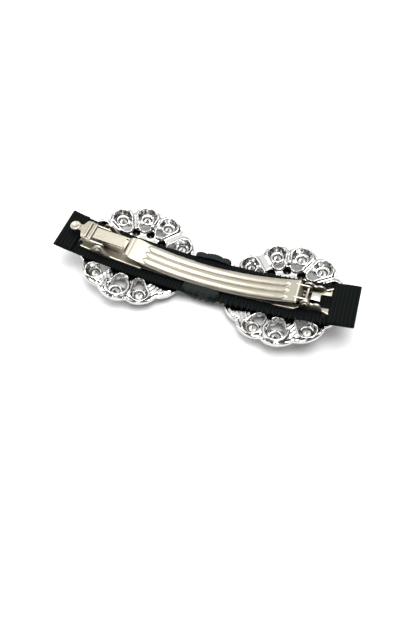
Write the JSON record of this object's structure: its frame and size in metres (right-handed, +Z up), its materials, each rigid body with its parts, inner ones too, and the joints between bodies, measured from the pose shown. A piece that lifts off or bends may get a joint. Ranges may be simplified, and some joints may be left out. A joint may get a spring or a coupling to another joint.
{
  "type": "rhinestone hair clip",
  "caption": "Barrette hair clip: two round openwork rhinestone medallions and a cloth knot on a ribbon band, with a hinged arm and a press-lever clasp behind.",
  "frame": {"origin": "on the surface the clip lies on, under the middle of its bounding box", "axes": "+X along the ribbon towards the hinge end, +Y across the ribbon, +Z up, away from the ornaments and through the spring clip"},
  "size_m": [0.1056, 0.0423, 0.0154],
  "materials": {
    "black_ribbon": "black grosgrain ribbon with crosswise ribs, matte with a faint sheen",
    "knot_cloth": "black gathered cloth with a soft satin sheen",
    "black_thread": "black sewing thread",
    "stiffener": "black matte backing strip",
    "glue": "black matte adhesive pad",
    "nickel_steel": "warm nickel-plated steel sheet, finely brushed, bright on its folds",
    "spring_steel": "nickel-plated spring steel, semi-bright",
    "bright_casting": "bright silver-plated casting, mirror-like",
    "rhinestone": "clear facet-cut glass"
  },
  "bodies": {
    "base": {"ribbon_band": "black_ribbon", "band_stiffener": "stiffener", "centre_knot": "knot_cloth", "edge_stitches": "black_thread", "bar_ties": "black_thread", "base_bar": "nickel_steel", "lever_pin": "nickel_steel", "hinge_pin": "nickel_steel", "lever_spring": "spring_steel", "left_medallion": "bright_casting", "left_rim_stones": "rhinestone", "left_inner_cups": "bright_casting", "left_inner_stones": "rhinestone", "left_centre_cup": "bright_casting", "left_centre_stone": "rhinestone", "left_glue_pad": "glue", "right_medallion": "bright_casting", "right_rim_stones": "rhinestone", "right_inner_cups": "bright_casting", "right_inner_stones": "rhinestone", "right_centre_cup": "bright_casting", "right_centre_stone": "rhinestone", "right_glue_pad": "glue"},
    "arm": {"clip_arm": "nickel_steel"},
    "lever": {"clasp_lever": "nickel_steel"},
    "leaf": {"tension_leaf": "spring_steel"}
  },
  "joints": [
    {"name": "arm_hinge", "type": "hinge", "parent": "base", "child": "arm", "pos_m": [0.0362, -0.002, 0.0114], "axis": [0, 1, 0], "range_deg": [0, 60]},
    {"name": "lever_pivot", "type": "hinge", "parent": "base", "child": "lever", "pos_m": [-0.0368, -0.002, 0.0117], "axis": [0, -1, 0], "range_deg": [0, 9], "stiffness_Nm_per_rad": 0.01, "springref_deg": -5.73, "deforming": ["lever_spring"]},
    {"name": "leaf_flex", "type": "hinge", "parent": "base", "child": "leaf", "pos_m": [0.0406, -0.002, 0.0104], "axis": [0, 1, 0], "range_deg": [0, 7.2]}
  ],
  "couplings": [
    {"joint": "leaf_flex", "follows": "arm_hinge", "ratio": 0.12}
  ]
}
